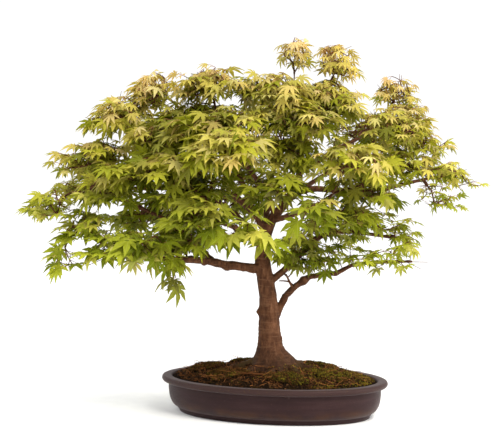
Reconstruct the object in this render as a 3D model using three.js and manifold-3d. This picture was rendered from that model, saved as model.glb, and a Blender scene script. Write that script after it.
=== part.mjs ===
// Japanese maple bonsai in a shallow oval pot.
//
// Millimetres, +Z up. The pot's long axis lies along X and the tree's viewing front faces about -Y.
// The origin is the middle of the bounding box of the whole plant, on the surface that the pot stands on.
//
// Everything is first built about the centre of the pot's foot. The tree is laid out in its own front
// frame (right, back, up), which is turned a little about Z against the pot, as the tree is planted.

import * as THREE from "three";
import { mergeVertices } from "three/addons/utils/BufferGeometryUtils.js";
import Module from "manifold-3d";

const wasm = await Module();
wasm.setup();

// ---------- Driving dimensions, in mm ----------

const GAP = 0.4; // clearance between pieces that touch

const POT_WALL_A = 194; // half length of the outer wall's oval
const POT_WALL_B = 124; // half width of the outer wall's oval
const POT_HEIGHT = 65;
const LIP_OUT = 12; // how far the rolled lip stands out from the wall
const LIP_DROP = 11; // height of the lip
const FOOT_HEIGHT = 4.5;
const FLOOR_TOP = 11; // top of the pot's floor inside
const WALL_THICKNESS = 6.5;
const POT_SIDES = 48;

const DRAIN_HOLE_RADIUS = 9;
const DRAIN_HOLE_SPREAD = 100; // distance of each hole's centre from the pot's centre
const MESH_SIZE = 30; // side of the square plastic mesh over each hole
const MESH_THICKNESS = 1.4;
const MESH_BARS = 3; // openings along each side of the mesh

const SOIL_EDGE = POT_HEIGHT - 3; // where the soil meets the pot's wall
const MOUND_RISE = 20; // how far the middle of the soil stands above its edge
const MOUND_POWER = 3.5; // a flat-topped mound that falls off near the rim
const MOSS_DEPTH = 5;
const SOIL_SIDES = 36;
const MOSS_SIDES = 14;

const TREE_TURN = THREE.MathUtils.degToRad(18); // the tree's front against the pot's long side
const TRUNK_SIDES = 12;
const ROOT_SIDES = 7;
const LIMB_SIDES = 6;
const TWIG_SIDES = 4;
const TWIG_STOP = 0.66; // a twig ends at this share of its spray's size from the middle
const SPRAY_SIDES = 10;

// ---------- Colours and finishes ----------

const FINISHES = {
  clay: { color: 0x4d3f3f, roughness: 0.62, metalness: 0 },
  plastic: { color: 0x23251f, roughness: 0.7, metalness: 0 },
  soil: { color: 0x2e2218, roughness: 0.95, metalness: 0 },
  moss: { color: 0x6b6420, roughness: 0.95, metalness: 0 },
  bark: { color: 0x5c3d2b, roughness: 0.85, metalness: 0 },
  leaf: { color: 0x8da32f, roughness: 0.6, metalness: 0 },
};

// ---------- Solids ----------

// A closed solid from rings of points: each ring has the same number of points, and the first and
// the last ring are closed by a fan round their middle point.
function ringSolid(rings) {
  const sides = rings[0].length;
  const positions = [];
  const index = [];
  rings.forEach((ring) => ring.forEach((p) => positions.push(p.x, p.y, p.z)));
  for (let r = 0; r + 1 < rings.length; r += 1) {
    for (let s = 0; s < sides; s += 1) {
      const next = (s + 1) % sides;
      const a = r * sides + s;
      const b = r * sides + next;
      index.push(a, b, b + sides);
      index.push(a, b + sides, a + sides);
    }
  }
  const cap = (ringIndex, forwards) => {
    const middle = new THREE.Vector3();
    rings[ringIndex].forEach((p) => middle.addScaledVector(p, 1 / sides));
    positions.push(middle.x, middle.y, middle.z);
    const centre = positions.length / 3 - 1;
    for (let s = 0; s < sides; s += 1) {
      const a = ringIndex * sides + s;
      const b = ringIndex * sides + ((s + 1) % sides);
      if (forwards) index.push(a, b, centre);
      else index.push(b, a, centre);
    }
  };
  cap(0, false);
  cap(rings.length - 1, true);
  const geometry = new THREE.BufferGeometry();
  geometry.setAttribute("position", new THREE.Float32BufferAttribute(positions, 3));
  geometry.setIndex(index);
  return geometry;
}

function toSolid(geometry) {
  const bare = geometry.clone();
  bare.deleteAttribute("normal");
  bare.deleteAttribute("uv");
  const merged = mergeVertices(bare, 1e-4);
  return new wasm.Manifold(
    new wasm.Mesh({
      numProp: 3,
      vertProperties: new Float32Array(merged.attributes.position.array),
      triVerts: new Uint32Array(merged.index.array),
    }),
  );
}

function toGeometry(solid) {
  const mesh = solid.getMesh();
  const geometry = new THREE.BufferGeometry();
  geometry.setAttribute("position", new THREE.BufferAttribute(mesh.vertProperties, 3));
  geometry.setIndex(new THREE.BufferAttribute(mesh.triVerts, 1));
  return geometry;
}

function largestBody(solid) {
  return solid.decompose().reduce((best, body) => (body.volume() > best.volume() ? body : best));
}

// ---------- The pot ----------

// One ring round the pot: the outer wall's oval, moved outwards by `out`, at height z.
function ovalRing(out, z, sides = POT_SIDES) {
  return Array.from({ length: sides }, (_, i) => {
    const angle = (i / sides) * 2 * Math.PI;
    const x = (POT_WALL_A + out) * Math.cos(angle);
    const y = (POT_WALL_B + out) * Math.sin(angle);
    return new THREE.Vector3(x, y, z);
  });
}

// The inside of the pot from the rim down to the floor: [outwards from the outer wall, height].
const POT_INSIDE = [
  [-WALL_THICKNESS + 2.5, POT_HEIGHT],
  [-WALL_THICKNESS + 0.5, POT_HEIGHT - 1.5],
  [-WALL_THICKNESS, POT_HEIGHT - 5],
  [-WALL_THICKNESS - 2, 30],
  [-WALL_THICKNESS - 9, 16],
  [-WALL_THICKNESS - 20, FLOOR_TOP],
];

function makePot() {
  const lipBottom = POT_HEIGHT - LIP_DROP;
  const outline = [
    [-34, FOOT_HEIGHT], // recessed underside
    [-31, 0], // foot band, standing on the ground
    [-19.5, 0],
    [-19, FOOT_HEIGHT],
    [-17, FOOT_HEIGHT + 0.5],
    [-16.5, FOOT_HEIGHT + 3.5], // narrow set-in band above the foot
    [-14, FOOT_HEIGHT + 4.5],
    [-8.5, 13], // belly
    [-4, 20],
    [-1.2, 30],
    [0, 42],
    [0, lipBottom - 0.5],
    [1.5, lipBottom], // rolled lip
    [LIP_OUT - 3.5, lipBottom + 0.5],
    [LIP_OUT - 0.8, lipBottom + 2.6],
    [LIP_OUT, lipBottom + 5.5],
    [LIP_OUT - 0.8, POT_HEIGHT - 2.4],
    [LIP_OUT - 3.5, POT_HEIGHT - 0.3],
    ...POT_INSIDE,
  ];
  let pot = toSolid(ringSolid(outline.map(([out, z]) => ovalRing(out, z))));
  for (const side of [-1, 1]) {
    const hole = new THREE.CylinderGeometry(DRAIN_HOLE_RADIUS, DRAIN_HOLE_RADIUS, 3 * FLOOR_TOP, 20);
    hole.rotateX(Math.PI / 2);
    hole.translate(side * DRAIN_HOLE_SPREAD, 0, 0);
    pot = pot.subtract(toSolid(hole));
  }
  return toGeometry(pot);
}

// A square of plastic mesh that keeps the soil off a drainage hole.
function makeMesh(side) {
  const sheet = new THREE.BoxGeometry(MESH_SIZE, MESH_SIZE, MESH_THICKNESS);
  let solid = toSolid(sheet);
  const pitch = MESH_SIZE / (MESH_BARS + 0.5);
  const opening = new THREE.BoxGeometry(pitch * 0.62, pitch * 0.62, 4 * MESH_THICKNESS);
  for (let i = 0; i < MESH_BARS; i += 1) {
    for (let j = 0; j < MESH_BARS; j += 1) {
      const cut = opening.clone();
      cut.translate((i - (MESH_BARS - 1) / 2) * pitch, (j - (MESH_BARS - 1) / 2) * pitch, 0);
      solid = solid.subtract(toSolid(cut));
    }
  }
  const geometry = toGeometry(solid);
  geometry.translate(side * DRAIN_HOLE_SPREAD, 0, FLOOR_TOP + GAP + MESH_THICKNESS / 2);
  return geometry;
}

// ---------- Soil and moss ----------

const SOIL_A = POT_WALL_A - WALL_THICKNESS;
const SOIL_B = POT_WALL_B - WALL_THICKNESS;

// Height of the soil's surface: a low flat-topped mound with a few broad hummocks.
function soilHeight(x, y) {
  const q = Math.min(1, Math.hypot(x / SOIL_A, y / SOIL_B));
  const mound = MOUND_RISE * (1 - q ** MOUND_POWER);
  const hummocks = 1.6 * Math.sin(x / 27 + 1.1) * Math.cos(y / 23 - 0.4) * (1 - q ** 4);
  return SOIL_EDGE + mound + hummocks;
}

function makeSoil(tree) {
  const soilRing = (out, z) => ovalRing(out, z, SOIL_SIDES);
  const soilBottom = FLOOR_TOP + 2 * GAP + MESH_THICKNESS;
  const inside = [...POT_INSIDE].reverse().filter(([, z]) => z > soilBottom && z < SOIL_EDGE - 2);
  const rings = [soilRing(-WALL_THICKNESS - 22, soilBottom)];
  inside.forEach(([out, z]) => rings.push(soilRing(out - 2 * GAP, z)));
  rings.push(soilRing(-WALL_THICKNESS - 2 * GAP, SOIL_EDGE));
  const steps = 7;
  for (let i = 1; i < steps; i += 1) {
    const share = 1 - i / steps;
    const ring = soilRing(-WALL_THICKNESS - 2 * GAP, 0).map((p) => {
      const x = p.x * share;
      const y = p.y * share;
      return new THREE.Vector3(x, y, soilHeight(x, y));
    });
    rings.push(ring);
  }
  return toGeometry(largestBody(toSolid(ringSolid(rings)).subtract(tree)));
}

// A cushion of moss that follows the mound: middle (x, y), size and turn of its oval outline.
function makeMoss([x0, y0, halfLength, halfWidth, turnDegrees], tree) {
  const turn = THREE.MathUtils.degToRad(turnDegrees);
  const ring = (share, lift) =>
    Array.from({ length: MOSS_SIDES }, (_, i) => {
      const angle = (i / MOSS_SIDES) * 2 * Math.PI;
      const wave = 1 + 0.1 * Math.sin(3 * angle + x0) + 0.06 * Math.sin(5 * angle + y0);
      const along = halfLength * share * wave * Math.cos(angle);
      const across = halfWidth * share * wave * Math.sin(angle);
      const x = x0 + along * Math.cos(turn) - across * Math.sin(turn);
      const y = y0 + along * Math.sin(turn) + across * Math.cos(turn);
      return new THREE.Vector3(x, y, soilHeight(x, y) + lift);
    });
  const under = 1.6 * GAP;
  const shares = [0.4, 0.8];
  const rings = shares.map((share) => ring(share, under));
  rings.push(ring(1, under + 0.3 * MOSS_DEPTH));
  [...shares].reverse().forEach((share) => {
    rings.push(ring(share * 0.96, under + MOSS_DEPTH * Math.sqrt(1 - 0.8 * share ** 2)));
  });
  return toGeometry(largestBody(toSolid(ringSolid(rings)).subtract(tree)));
}

const MOSS_PATCHES = {
  moss_right: [112, -26, 42, 32, -8],
  moss_front_right: [46, -76, 44, 22, -9],
  moss_front_left: [-62, -70, 42, 23, 12],
  moss_left: [-124, -6, 34, 40, 0],
  moss_back_left: [-68, 67, 44, 24, -13],
  moss_back_right: [56, 70, 46, 24, 12],
};

// ---------- The tree's wood ----------

// A point of the tree, measured to the right, to the back and up from the middle of the pot's rim.
function inTreeFrame([right, back, up]) {
  const c = Math.cos(TREE_TURN);
  const s = Math.sin(TREE_TURN);
  return new THREE.Vector3(right * c - back * s, right * s + back * c, POT_HEIGHT + up);
}

// A tapering limb through the given points, whose radius at share t of its length is radiusAt(t).
function limbGeometry(curve, radiusAt, sides, steps) {
  const frames = curve.computeFrenetFrames(steps, false);
  const rings = [];
  for (let i = 0; i <= steps; i += 1) {
    const t = i / steps;
    const centre = curve.getPointAt(t);
    const radius = radiusAt(t);
    const ring = Array.from({ length: sides }, (_, s) => {
      const angle = (s / sides) * 2 * Math.PI;
      return centre
        .clone()
        .addScaledVector(frames.normals[i], radius * Math.cos(angle))
        .addScaledVector(frames.binormals[i], radius * Math.sin(angle));
    });
    rings.push(ring);
  }
  return ringSolid(rings);
}

function curveThrough(points) {
  return new THREE.CatmullRomCurve3(points.map(inTreeFrame), false, "centripetal");
}

function taper(from, to) {
  return (t) => from + (to - from) * t;
}

// The trunk: it leans left as it rises, forks, then swings right and up to the apex.
const TRUNK_PATH = [
  [0, 0, -8],
  [-1, 0, 16],
  [-3, 0, 30],
  [-5, 0, 44],
  [-6, 0, 60],
  [-7, 0, 84],
  [-9, 0, 136],
  [-14, 0, 173],
  [-20, 2, 211],
  [-17, 6, 241],
  [-1, 10, 283],
  [26, 10, 314],
  [46, 10, 350],
  [45, 14, 402],
  [38, 12, 462],
  [37, 8, 522],
];
const TRUNK_RADII = [54, 50, 38, 27.5, 21.5, 19.8, 16, 15, 13.7, 11.3, 8.8, 7.6, 6.6, 5.2, 4, 2.8];

// Roots that flare from the trunk's foot: [direction in degrees from the right, reach, radius at the trunk].
const ROOTS = [
  [174, 92, 14],
  [222, 80, 12],
  [264, 74, 12],
  [312, 76, 11],
  [350, 88, 13],
  [38, 76, 12],
  [88, 74, 12],
  [136, 82, 12],
];
const ROOT_END_RADIUS = 4;
const ROOT_STAGES = [[0.14, 15], [0.42, 5], [0.74, 0], [1, -8]]; // [share of reach, height over the soil]

// A root leaves the trunk's foot, runs along the soil's surface and dives under it.
function rootCurve(direction, reach) {
  const angle = THREE.MathUtils.degToRad(direction);
  const points = ROOT_STAGES.map(([share, lift]) => {
    const out = share * reach;
    const point = inTreeFrame([out * Math.cos(angle), out * Math.sin(angle), 0]);
    point.z = soilHeight(point.x, point.y) + lift;
    return point;
  });
  return new THREE.CatmullRomCurve3(points, false, "centripetal");
}

// Limbs that leave the trunk: name, path, radius at the trunk and at the tip.
const LIMBS = {
  leftLow: [[[-13, 0, 191], [-34, -6, 194], [-72, -14, 200], [-102, -22, 203], [-118, -30, 210],
    [-152, -44, 213], [-220, -60, 217], [-289, -66, 240], [-349, -60, 273]], 8.6, 2.6],
  leftInner: [[[-102, -22, 203], [-124, -4, 224], [-165, 20, 264], [-239, 34, 300],
    [-319, 40, 328]], 5, 2],
  leftFork: [[[-12, 8, 253], [-29, 12, 289], [-64, 14, 320], [-128, 10, 332], [-198, 0, 337],
    [-279, -20, 334], [-355, -30, 329]], 7.4, 2.2],
  leftHigh: [[[-35, 12, 295], [-54, 20, 344], [-91, 30, 395], [-137, 34, 446],
    [-187, 30, 497]], 5.6, 2],
  leftCrown: [[[3, 10, 289], [-22, -20, 340], [-57, -34, 390], [-95, -30, 451],
    [-106, -20, 497]], 5.6, 2],
  leftBack: [[[-16, 8, 223], [-39, 60, 257], [-85, 130, 295], [-148, 190, 337],
    [-204, 226, 372]], 6.6, 2.2],
  frontLeft: [[[-17, 0, 223], [-34, -44, 249], [-65, -100, 271], [-107, -160, 291],
    [-139, -206, 304]], 6, 2.2],
  frontRight: [[[-1, 6, 278], [31, -40, 290], [63, -98, 305], [86, -160, 316],
    [96, -204, 320]], 5.6, 2.2],
  rightLow: [[[0, 0, 92], [16, 4, 134], [31, 6, 155], [57, 4, 172], [73, 2, 184], [99, 0, 180],
    [113, 0, 185], [133, 4, 197], [185, 14, 203], [249, 20, 204]], 7, 2.2],
  rightMiddle: [[[-7, 0, 169], [13, 2, 185], [31, 4, 199], [48, 8, 218], [76, 22, 245],
    [130, 40, 257], [200, 50, 247], [246, 54, 241]], 7, 2.2],
  rightLong: [[[36, 10, 330], [68, 4, 335], [122, -4, 331], [188, 0, 333], [259, 20, 349],
    [321, 40, 360]], 6.4, 2.2],
  rightHigh: [[[46, 12, 362], [93, 22, 392], [148, 32, 422], [201, 40, 462],
    [222, 44, 506]], 5.4, 2],
  rightBack: [[[13, 10, 302], [52, 70, 330], [103, 140, 359], [163, 200, 379],
    [200, 236, 387]], 6, 2.2],
  back: [[[-14, 12, 245], [-11, 70, 293], [0, 140, 353], [13, 200, 393], [22, 240, 420]], 6, 2.2],
  apexRight: [[[42, 12, 442], [63, 12, 478], [94, 10, 511], [108, 8, 539]], 4, 1.8],
};

// Foliage: each spray hangs on a twig that leaves its limb at share t of the limb's length.
// [limb, t, middle, [width, depth, thickness]]
const SPRAYS = {
  apex: ["trunk", 0.98, [36, 6, 570], [74, 74, 44]],
  apex_right: ["apexRight", 0.98, [109, 4, 553], [90, 84, 46]],
  crown_centre: ["trunk", 0.86, [-3, -60, 507], [130, 96, 34]],
  crown_front: ["trunk", 0.8, [40, -92, 458], [140, 100, 38]],
  crown_right: ["apexRight", 0.6, [101, -34, 485], [108, 100, 38]],
  crown_back: ["trunk", 0.84, [35, 110, 474], [150, 120, 40]],
  crown_left: ["leftCrown", 0.98, [-113, -24, 516], [110, 104, 42]],
  crown_left_front: ["leftCrown", 0.7, [-87, -112, 444], [150, 96, 36]],
  peak_left: ["leftHigh", 0.98, [-213, 18, 501], [108, 100, 48]],
  shoulder_left: ["leftHigh", 0.8, [-269, -10, 465], [110, 120, 34]],
  shoulder_left_front: ["leftHigh", 0.6, [-183, -66, 433], [140, 110, 34]],
  upper_left_tip: ["leftFork", 0.72, [-320, 0, 390], [130, 120, 34]],
  upper_left_front: ["leftFork", 0.5, [-200, -100, 373], [160, 120, 34]],
  upper_left_back: ["leftHigh", 0.5, [-177, 130, 432], [180, 130, 40]],
  middle_left_tip: ["leftFork", 0.98, [-389, -30, 309], [108, 110, 32]],
  middle_left: ["leftFork", 0.8, [-289, -66, 337], [120, 116, 30]],
  middle_left_back: ["leftInner", 0.98, [-314, 84, 347], [150, 120, 36]],
  middle_left_inner: ["leftFork", 0.42, [-142, -112, 339], [130, 100, 30]],
  low_left_tip: ["leftLow", 0.98, [-321, -60, 272], [116, 110, 32]],
  low_left_outer: ["leftLow", 0.72, [-363, -96, 220], [90, 90, 28]],
  low_left: ["leftLow", 0.8, [-277, -112, 238], [112, 100, 32]],
  low_left_front: ["leftLow", 0.6, [-204, -138, 235], [112, 104, 34]],
  low_left_hanging: ["leftLow", 0.5, [-164, -110, 185], [62, 62, 46]],
  low_left_back: ["leftInner", 0.6, [-219, 90, 278], [150, 120, 36]],
  front_left: ["frontLeft", 0.98, [-121, -188, 295], [130, 96, 32]],
  front_middle: ["frontLeft", 0.6, [-45, -210, 272], [112, 96, 32]],
  front_upper: ["leftCrown", 0.45, [-83, -192, 404], [170, 110, 38]],
  front_centre: ["frontRight", 0.5, [6, -150, 342], [120, 100, 34]],
  front_right: ["frontRight", 0.98, [61, -214, 294], [108, 96, 34]],
  front_right_upper: ["frontRight", 0.8, [123, -160, 385], [150, 120, 38]],
  shoulder_right: ["rightHigh", 0.98, [221, 40, 501], [104, 100, 42]],
  shoulder_right_outer: ["rightHigh", 0.85, [237, 20, 457], [110, 110, 32]],
  upper_right: ["rightHigh", 0.6, [201, -62, 443], [126, 106, 34]],
  upper_right_outer: ["rightHigh", 0.75, [254, 4, 416], [118, 120, 30]],
  upper_right_back: ["rightHigh", 0.5, [175, 150, 439], [160, 130, 40]],
  middle_right_tip: ["rightLong", 0.98, [321, 50, 356], [112, 110, 30]],
  middle_right_front: ["rightLong", 0.7, [245, -74, 374], [140, 110, 32]],
  middle_right_low: ["rightLong", 0.8, [290, 6, 318], [100, 100, 30]],
  middle_right_inner: ["rightLong", 0.5, [150, -76, 337], [130, 110, 32]],
  middle_right_back: ["rightBack", 0.98, [214, 230, 388], [180, 120, 36]],
  middle_right_under: ["rightMiddle", 0.45, [111, -70, 291], [104, 90, 28]],
  low_right_inner: ["rightMiddle", 0.5, [88, 24, 257], [100, 90, 32]],
  low_right_outer: ["rightMiddle", 0.8, [189, 40, 262], [130, 100, 26]],
  low_right_tip: ["rightMiddle", 0.98, [232, 20, 230], [78, 90, 22]],
  lowest_right: ["rightLow", 0.72, [127, -10, 210], [96, 90, 30]],
  lowest_right_tip: ["rightLow", 0.98, [205, -26, 205], [84, 80, 22]],
  back_left: ["leftBack", 0.98, [-204, 226, 382], [190, 120, 44]],
  back_low: ["leftBack", 0.6, [-99, 190, 286], [190, 120, 38]],
  back_middle: ["back", 0.98, [14, 246, 429], [190, 110, 44]],
};

function limbCurve(name) {
  return name === "trunk" ? curveThrough(TRUNK_PATH) : curveThrough(LIMBS[name][0]);
}

// The wood as one solid. `extra` thickens every limb, which gives the clearance for its neighbours.
function makeWood(extra) {
  const trunk = curveThrough(TRUNK_PATH);
  const trunkRadius = (t) => {
    const place = t * (TRUNK_RADII.length - 1);
    const low = Math.min(Math.floor(place), TRUNK_RADII.length - 2);
    return extra + THREE.MathUtils.lerp(TRUNK_RADII[low], TRUNK_RADII[low + 1], place - low);
  };
  // The radii are listed at the path's points, so the curve is read by its own parameter.
  const byPoint = Object.create(trunk);
  byPoint.getPointAt = (t) => trunk.getPoint(t);
  byPoint.getTangentAt = (t) => trunk.getTangent(t);
  let wood = toSolid(limbGeometry(byPoint, trunkRadius, TRUNK_SIDES, 24));
  for (const [direction, reach, thickness] of ROOTS) {
    const radius = taper(thickness + extra, ROOT_END_RADIUS + extra);
    wood = wood.add(toSolid(limbGeometry(rootCurve(direction, reach), radius, ROOT_SIDES, 5)));
  }
  for (const [path, from, to] of Object.values(LIMBS)) {
    const radius = taper(from + extra, to + extra);
    wood = wood.add(toSolid(limbGeometry(curveThrough(path), radius, LIMB_SIDES, path.length + 1)));
  }
  for (const spray of Object.values(SPRAYS)) {
    const twig = twigGeometry(spray, extra);
    if (twig) wood = wood.add(toSolid(twig));
  }
  return wood;
}

// A twig from its limb to the edge of its spray: it leaves along the limb and arches over. A limb that
// already runs inside the spray needs none.
function twigGeometry(spray, extra) {
  const [limb, share, middle, size] = spray;
  const curve = limbCurve(limb);
  const start = curve.getPointAt(share);
  const along = curve.getTangentAt(share);
  const heart = inTreeFrame(middle);
  const offset = start.clone().sub(heart);
  const flat = offset.clone().applyAxisAngle(new THREE.Vector3(0, 0, 1), -TREE_TURN);
  const inside = Math.hypot(flat.x / size[0], flat.y / size[1], flat.z / size[2]) / TWIG_STOP;
  if (inside < 1.1) return null;
  const end = heart.addScaledVector(offset, 1 / inside);
  const reach = start.distanceTo(end);
  const bend = start.clone().addScaledVector(along, 0.3 * reach).lerp(end, 0.3);
  bend.z += 0.06 * reach;
  const path = new THREE.QuadraticBezierCurve3(start, bend, end);
  return limbGeometry(path, taper(1.9 + extra, 1.3 + extra), TWIG_SIDES, 3);
}

// A flattened, lobed cloud of leaves that droops towards its outer edge. `extra` makes it larger all
// round, which gives the clearance for the sprays beside it.
function sprayGeometry([, , middle, size], extra) {
  const [width, depth, thickness] = size.map((side) => side + 2 * extra);
  const seed = middle[0] * 0.37 + middle[1] * 0.53 + middle[2] * 0.71;
  const outwards = new THREE.Vector2(middle[0], middle[1]).normalize();
  const ring = (share, lift) =>
    Array.from({ length: SPRAY_SIDES }, (_, i) => {
      const angle = (i / SPRAY_SIDES) * 2 * Math.PI;
      const lobes = 1 + 0.1 * Math.sin(3 * angle + seed) + 0.07 * Math.sin(5 * angle + 2 * seed);
      const right = 0.5 * width * share * lobes * Math.cos(angle);
      const back = 0.5 * depth * share * lobes * Math.sin(angle);
      const fall = 0.16 * (right * outwards.x + back * outwards.y) + 0.1 * thickness * share;
      return inTreeFrame([middle[0] + right, middle[1] + back, middle[2] + lift - fall]);
    });
  const rings = [
    ring(0.6, -0.36 * thickness),
    ring(1, -0.16 * thickness),
    ring(0.84, 0.28 * thickness),
    ring(0.4, 0.5 * thickness),
  ];
  return ringSolid(rings);
}

// ---------- Assembly ----------

const plant = new THREE.Group();

function addPiece(name, geometry, finish) {
  const mesh = new THREE.Mesh(geometry, new THREE.MeshStandardMaterial(FINISHES[finish]));
  mesh.name = name;
  plant.add(mesh);
}

const wood = makeWood(0);
const clearOfWood = makeWood(GAP + 0.3);

addPiece("pot", makePot(), "clay");
addPiece("drain_mesh_left", makeMesh(-1), "plastic");
addPiece("drain_mesh_right", makeMesh(1), "plastic");
addPiece("soil", makeSoil(clearOfWood), "soil");
for (const [name, patch] of Object.entries(MOSS_PATCHES)) {
  addPiece(name, makeMoss(patch, clearOfWood), "moss");
}
addPiece("trunk_and_branches", toGeometry(wood), "bark");
// Each spray keeps clear of the wood and of the sprays placed before it.
const placed = [];
for (const [name, spray] of Object.entries(SPRAYS)) {
  let leaves = toSolid(sprayGeometry(spray, 0)).subtract(clearOfWood);
  placed.forEach((neighbour) => {
    leaves = leaves.subtract(neighbour);
  });
  placed.push(toSolid(sprayGeometry(spray, 2 * GAP)));
  addPiece(`leaves_${name}`, toGeometry(largestBody(leaves)), "leaf");
}

// Move the plant so that the origin is under the middle of its bounding box.
const box = new THREE.Box3().setFromObject(plant);
const middle = box.getCenter(new THREE.Vector3());
plant.position.set(-middle.x, -middle.y, -box.min.z);

export default plant;
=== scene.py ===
import math
import random

import bpy
import numpy as np
from mathutils import Matrix, Vector, noise
from mathutils.bvhtree import BVHTree


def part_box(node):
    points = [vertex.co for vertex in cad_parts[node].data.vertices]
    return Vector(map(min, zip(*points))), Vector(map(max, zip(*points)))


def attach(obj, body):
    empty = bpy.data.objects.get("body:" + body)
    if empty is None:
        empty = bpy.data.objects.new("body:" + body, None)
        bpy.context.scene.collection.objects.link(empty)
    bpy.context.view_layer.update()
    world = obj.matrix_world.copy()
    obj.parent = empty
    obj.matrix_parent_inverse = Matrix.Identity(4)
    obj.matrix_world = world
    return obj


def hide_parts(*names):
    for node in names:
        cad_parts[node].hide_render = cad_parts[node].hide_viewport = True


# Japanese maple bonsai in a shallow oval pot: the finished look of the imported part, in metres.

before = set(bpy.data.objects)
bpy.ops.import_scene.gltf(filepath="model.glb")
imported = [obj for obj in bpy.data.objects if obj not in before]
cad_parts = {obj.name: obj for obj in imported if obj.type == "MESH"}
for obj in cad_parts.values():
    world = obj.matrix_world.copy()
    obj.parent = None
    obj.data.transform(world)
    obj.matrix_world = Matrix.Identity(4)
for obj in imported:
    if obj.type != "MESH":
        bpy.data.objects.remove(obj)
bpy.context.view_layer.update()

SEED = 7
UP = Vector((0, 0, 1))


def clamped(value):
    return min(1.0, max(0.0, value))


# ---------- Where the plant stands ----------

POT_LOW, POT_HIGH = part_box("pot")
POT_MIDDLE = Vector(((POT_LOW.x + POT_HIGH.x) / 2, (POT_LOW.y + POT_HIGH.y) / 2, 0))
RIM_HEIGHT = POT_HIGH.z
TREE_TURN = math.radians(18)  # the tree's front against the pot's long side
TREE_RIGHT = Vector((math.cos(TREE_TURN), math.sin(TREE_TURN), 0))
TREE_BACK = Vector((-math.sin(TREE_TURN), math.cos(TREE_TURN), 0))


def tree_point(right, back, up):
    """A point of the tree in millimetres to the right, to the back and up from the middle of the rim."""
    place = POT_MIDDLE + TREE_RIGHT * right / 1000 + TREE_BACK * back / 1000
    return Vector((place.x, place.y, RIM_HEIGHT + up / 1000))


# ---------- Camera, floor and light ----------

CAMERA_ELEVATION = math.radians(3.0)
CAMERA_DISTANCE = 2.4
CAMERA_TARGET = POT_MIDDLE + TREE_RIGHT * -0.0415 + UP * 0.3533
CAMERA_LENS = 97.6
CAMERA_SENSOR = 36

LIGHT_TARGET = Vector((0, 0, 0.3))
# The lamps: [name, place, width, power, colour].
LAMPS = [
    ["key", (1.5, -1.5, 2.2), 0.9, 72, (1, 0.97, 0.91)],
    ["fill", (-2.2, -1.2, 1.3), 1.6, 20, (0.96, 0.98, 1)],
    ["side", (2.4, 0.1, 0.65), 1.2, 32, (1, 0.98, 0.95)],
]
BACKDROP_STRENGTH = 1.06
SKY_STRENGTH = (0.5, 2.1)  # at the horizon and straight overhead
FLOOR_RADIUS = 14
FLOOR_SIDES = 64
FLOOR_HEIGHT = -0.0004  # just below the pot's foot


def make_camera():
    forwards = TREE_BACK * math.cos(CAMERA_ELEVATION) - UP * math.sin(CAMERA_ELEVATION)
    upwards = TREE_BACK * math.sin(CAMERA_ELEVATION) + UP * math.cos(CAMERA_ELEVATION)
    turn = Matrix((TREE_RIGHT, upwards, -forwards)).transposed().to_4x4()
    data = bpy.data.cameras.new("camera")
    data.sensor_width = CAMERA_SENSOR
    data.lens = CAMERA_LENS
    camera = bpy.data.objects.new("camera", data)
    camera.matrix_world = Matrix.Translation(CAMERA_TARGET - forwards * CAMERA_DISTANCE) @ turn
    bpy.context.scene.collection.objects.link(camera)
    bpy.context.scene.camera = camera


def make_area_light(name, place, size, power, colour):
    data = bpy.data.lights.new(name, "AREA")
    data.shape = "DISK"
    data.size = size
    data.energy = power
    data.color = colour
    light = bpy.data.objects.new(name, data)
    light.location = place
    light.rotation_euler = (LIGHT_TARGET - Vector(place)).to_track_quat("-Z", "Y").to_euler()
    bpy.context.scene.collection.objects.link(light)


def white_sky():
    """A plain white background that lights the plant mostly from overhead, as a big soft box does."""
    graph = Graph(bpy.data.worlds.new("studio"), "Generated")
    brightness = graph.moved(graph.axis("Z"), *SKY_STRENGTH)
    overhead = graph.node("Background", {"Strength": brightness})
    backdrop = graph.node("Background", {"Color": (1, 1, 1), "Strength": BACKDROP_STRENGTH})
    seen = graph.node("LightPath").outputs["Is Camera Ray"]
    both = graph.mix_shaders(seen, overhead.outputs["Background"], backdrop.outputs["Background"])
    return graph.finish(both, "OutputWorld")


def make_floor():
    ring = [(FLOOR_RADIUS * math.cos(a), FLOOR_RADIUS * math.sin(a), FLOOR_HEIGHT)
            for a in np.linspace(0, 2 * math.pi, FLOOR_SIDES, endpoint=False)]
    mesh = bpy.data.meshes.new("floor")
    mesh.from_pydata(ring, [], [list(range(FLOOR_SIDES))])
    graph = new_material("floor_paper")
    speckle = graph.noise(40, detail=3)
    mesh.materials.append(graph.surface({
        "Base Color": graph.ramp(speckle, [(0.3, (0.9, 0.9, 0.9)), (0.7, (0.94, 0.94, 0.94))]),
        "Roughness": 0.9,
    }))
    floor = bpy.data.objects.new("floor", mesh)
    bpy.context.scene.collection.objects.link(floor)


def make_studio():
    scene = bpy.context.scene
    scene.view_settings.view_transform = "Standard"
    scene.world = white_sky()
    for lamp in LAMPS:
        make_area_light(*lamp)
    make_floor()


# ---------- Node materials ----------

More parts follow.
